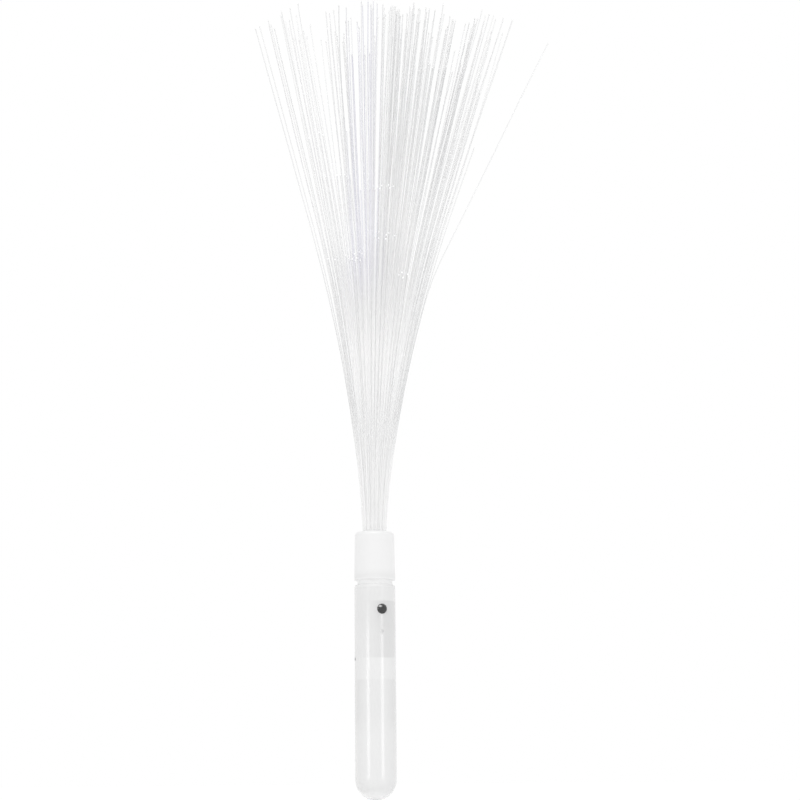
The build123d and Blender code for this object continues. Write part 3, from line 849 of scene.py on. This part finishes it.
class WAND_OT_switch(bpy.types.Operator):
    """Finishes the switch under the button"""

    bl_idname = "wand.switch"
    bl_label = "Finish the switch"

    def execute(self, context):
        bright_steel = steel("bright_steel", (0.66, 0.66, 0.67), roughness=0.22, stretch=(1.0, 1.0, 0.2))
        switch_plastic = moulded("switch_plastic", (0.035, 0.035, 0.04), roughness=0.45)
        dress(bright_steel, "switch_cover", "switch_dome")
        dress(switch_plastic, "switch_base", "switch_plunger")
        return {"FINISHED"}


class WAND_OT_components(bpy.types.Operator):
    """Finishes the chip, the resistors, the lights' leads and the solder joints"""

    bl_idname = "wand.components"
    bl_label = "Finish the components"

    def execute(self, context):
        chip_resin = moulded("chip_resin", (0.02, 0.02, 0.02), roughness=0.25, grain_scale=900.0)
        ceramic = moulded("resistor_ceramic", (0.06, 0.06, 0.07), roughness=0.5)
        tinned_wire = steel("tinned_wire", (0.76, 0.77, 0.78), roughness=0.3, stretch=(1.0, 1.0, 0.3))
        dress(chip_resin, "control_chip")
        dress(ceramic, "resistors")
        dress(tinned_wire, "light_leads", "solder_joints")
        return {"FINISHED"}


class WAND_OT_lights(bpy.types.Operator):
    """Finishes the three coloured lights"""

    bl_idname = "wand.lights"
    bl_label = "Finish the lights"

    def execute(self, context):
        lenses = {"red": (0.85, 0.22, 0.20), "green": (0.28, 0.80, 0.36), "blue": (0.26, 0.40, 0.88)}
        for name, colour in lenses.items():
            dress(clear_plastic(name + "_lens", colour, opacity=0.75), name + "_light")
        return {"FINISHED"}


class WAND_OT_wires(bpy.types.Operator):
    """Finishes the two wires from the battery to the board"""

    bl_idname = "wand.wires"
    bl_label = "Finish the wires"

    def execute(self, context):
        dress(wire_insulation("red_insulation", (0.58, 0.05, 0.04)), "positive_wire")
        dress(wire_insulation("black_insulation", (0.03, 0.03, 0.03)), "negative_wire")
        return {"FINISHED"}


OPERATORS = (
    WAND_OT_studio,
    WAND_OT_handle,
    WAND_OT_button,
    WAND_OT_head,
    WAND_OT_fibres,
    WAND_OT_module,
    WAND_OT_battery,
    WAND_OT_boards,
    WAND_OT_switch,
    WAND_OT_components,
    WAND_OT_lights,
    WAND_OT_wires,
)


class WAND_PT_panel(bpy.types.Panel):
    """Lists the wand's operators and their settings"""

    bl_idname = "WAND_PT_panel"
    bl_label = "Fibre Wand"
    bl_space_type = "VIEW_3D"
    bl_region_type = "UI"
    bl_category = "Fibre Wand"

    def draw(self, context):
        for operator in OPERATORS:
            self.layout.operator(operator.bl_idname)
        for group in SETTINGS:
            box = self.layout.box()
            looks = getattr(context.scene, group)
            for name in looks.bl_rna.properties.keys():
                if name not in ("rna_type", "name"):
                    box.prop(looks, name)


def register():
    for group, settings in SETTINGS.items():
        bpy.utils.register_class(settings)
        setattr(bpy.types.Scene, group, bpy.props.PointerProperty(type=settings))
    for operator in OPERATORS:
        bpy.utils.register_class(operator)
    bpy.utils.register_class(WAND_PT_panel)


def unregister():
    bpy.utils.unregister_class(WAND_PT_panel)
    for operator in reversed(OPERATORS):
        bpy.utils.unregister_class(operator)
    for group, settings in SETTINGS.items():
        delattr(bpy.types.Scene, group)
        bpy.utils.unregister_class(settings)


def main():
    register()
    bpy.ops.wand.studio()
    bpy.ops.wand.handle()
    bpy.ops.wand.button()
    bpy.ops.wand.head()
    bpy.ops.wand.fibres()
    bpy.ops.wand.module()
    bpy.ops.wand.battery()
    bpy.ops.wand.boards()
    bpy.ops.wand.switch()
    bpy.ops.wand.components()
    bpy.ops.wand.lights()
    bpy.ops.wand.wires()


if __name__ == "__main__":
    main()
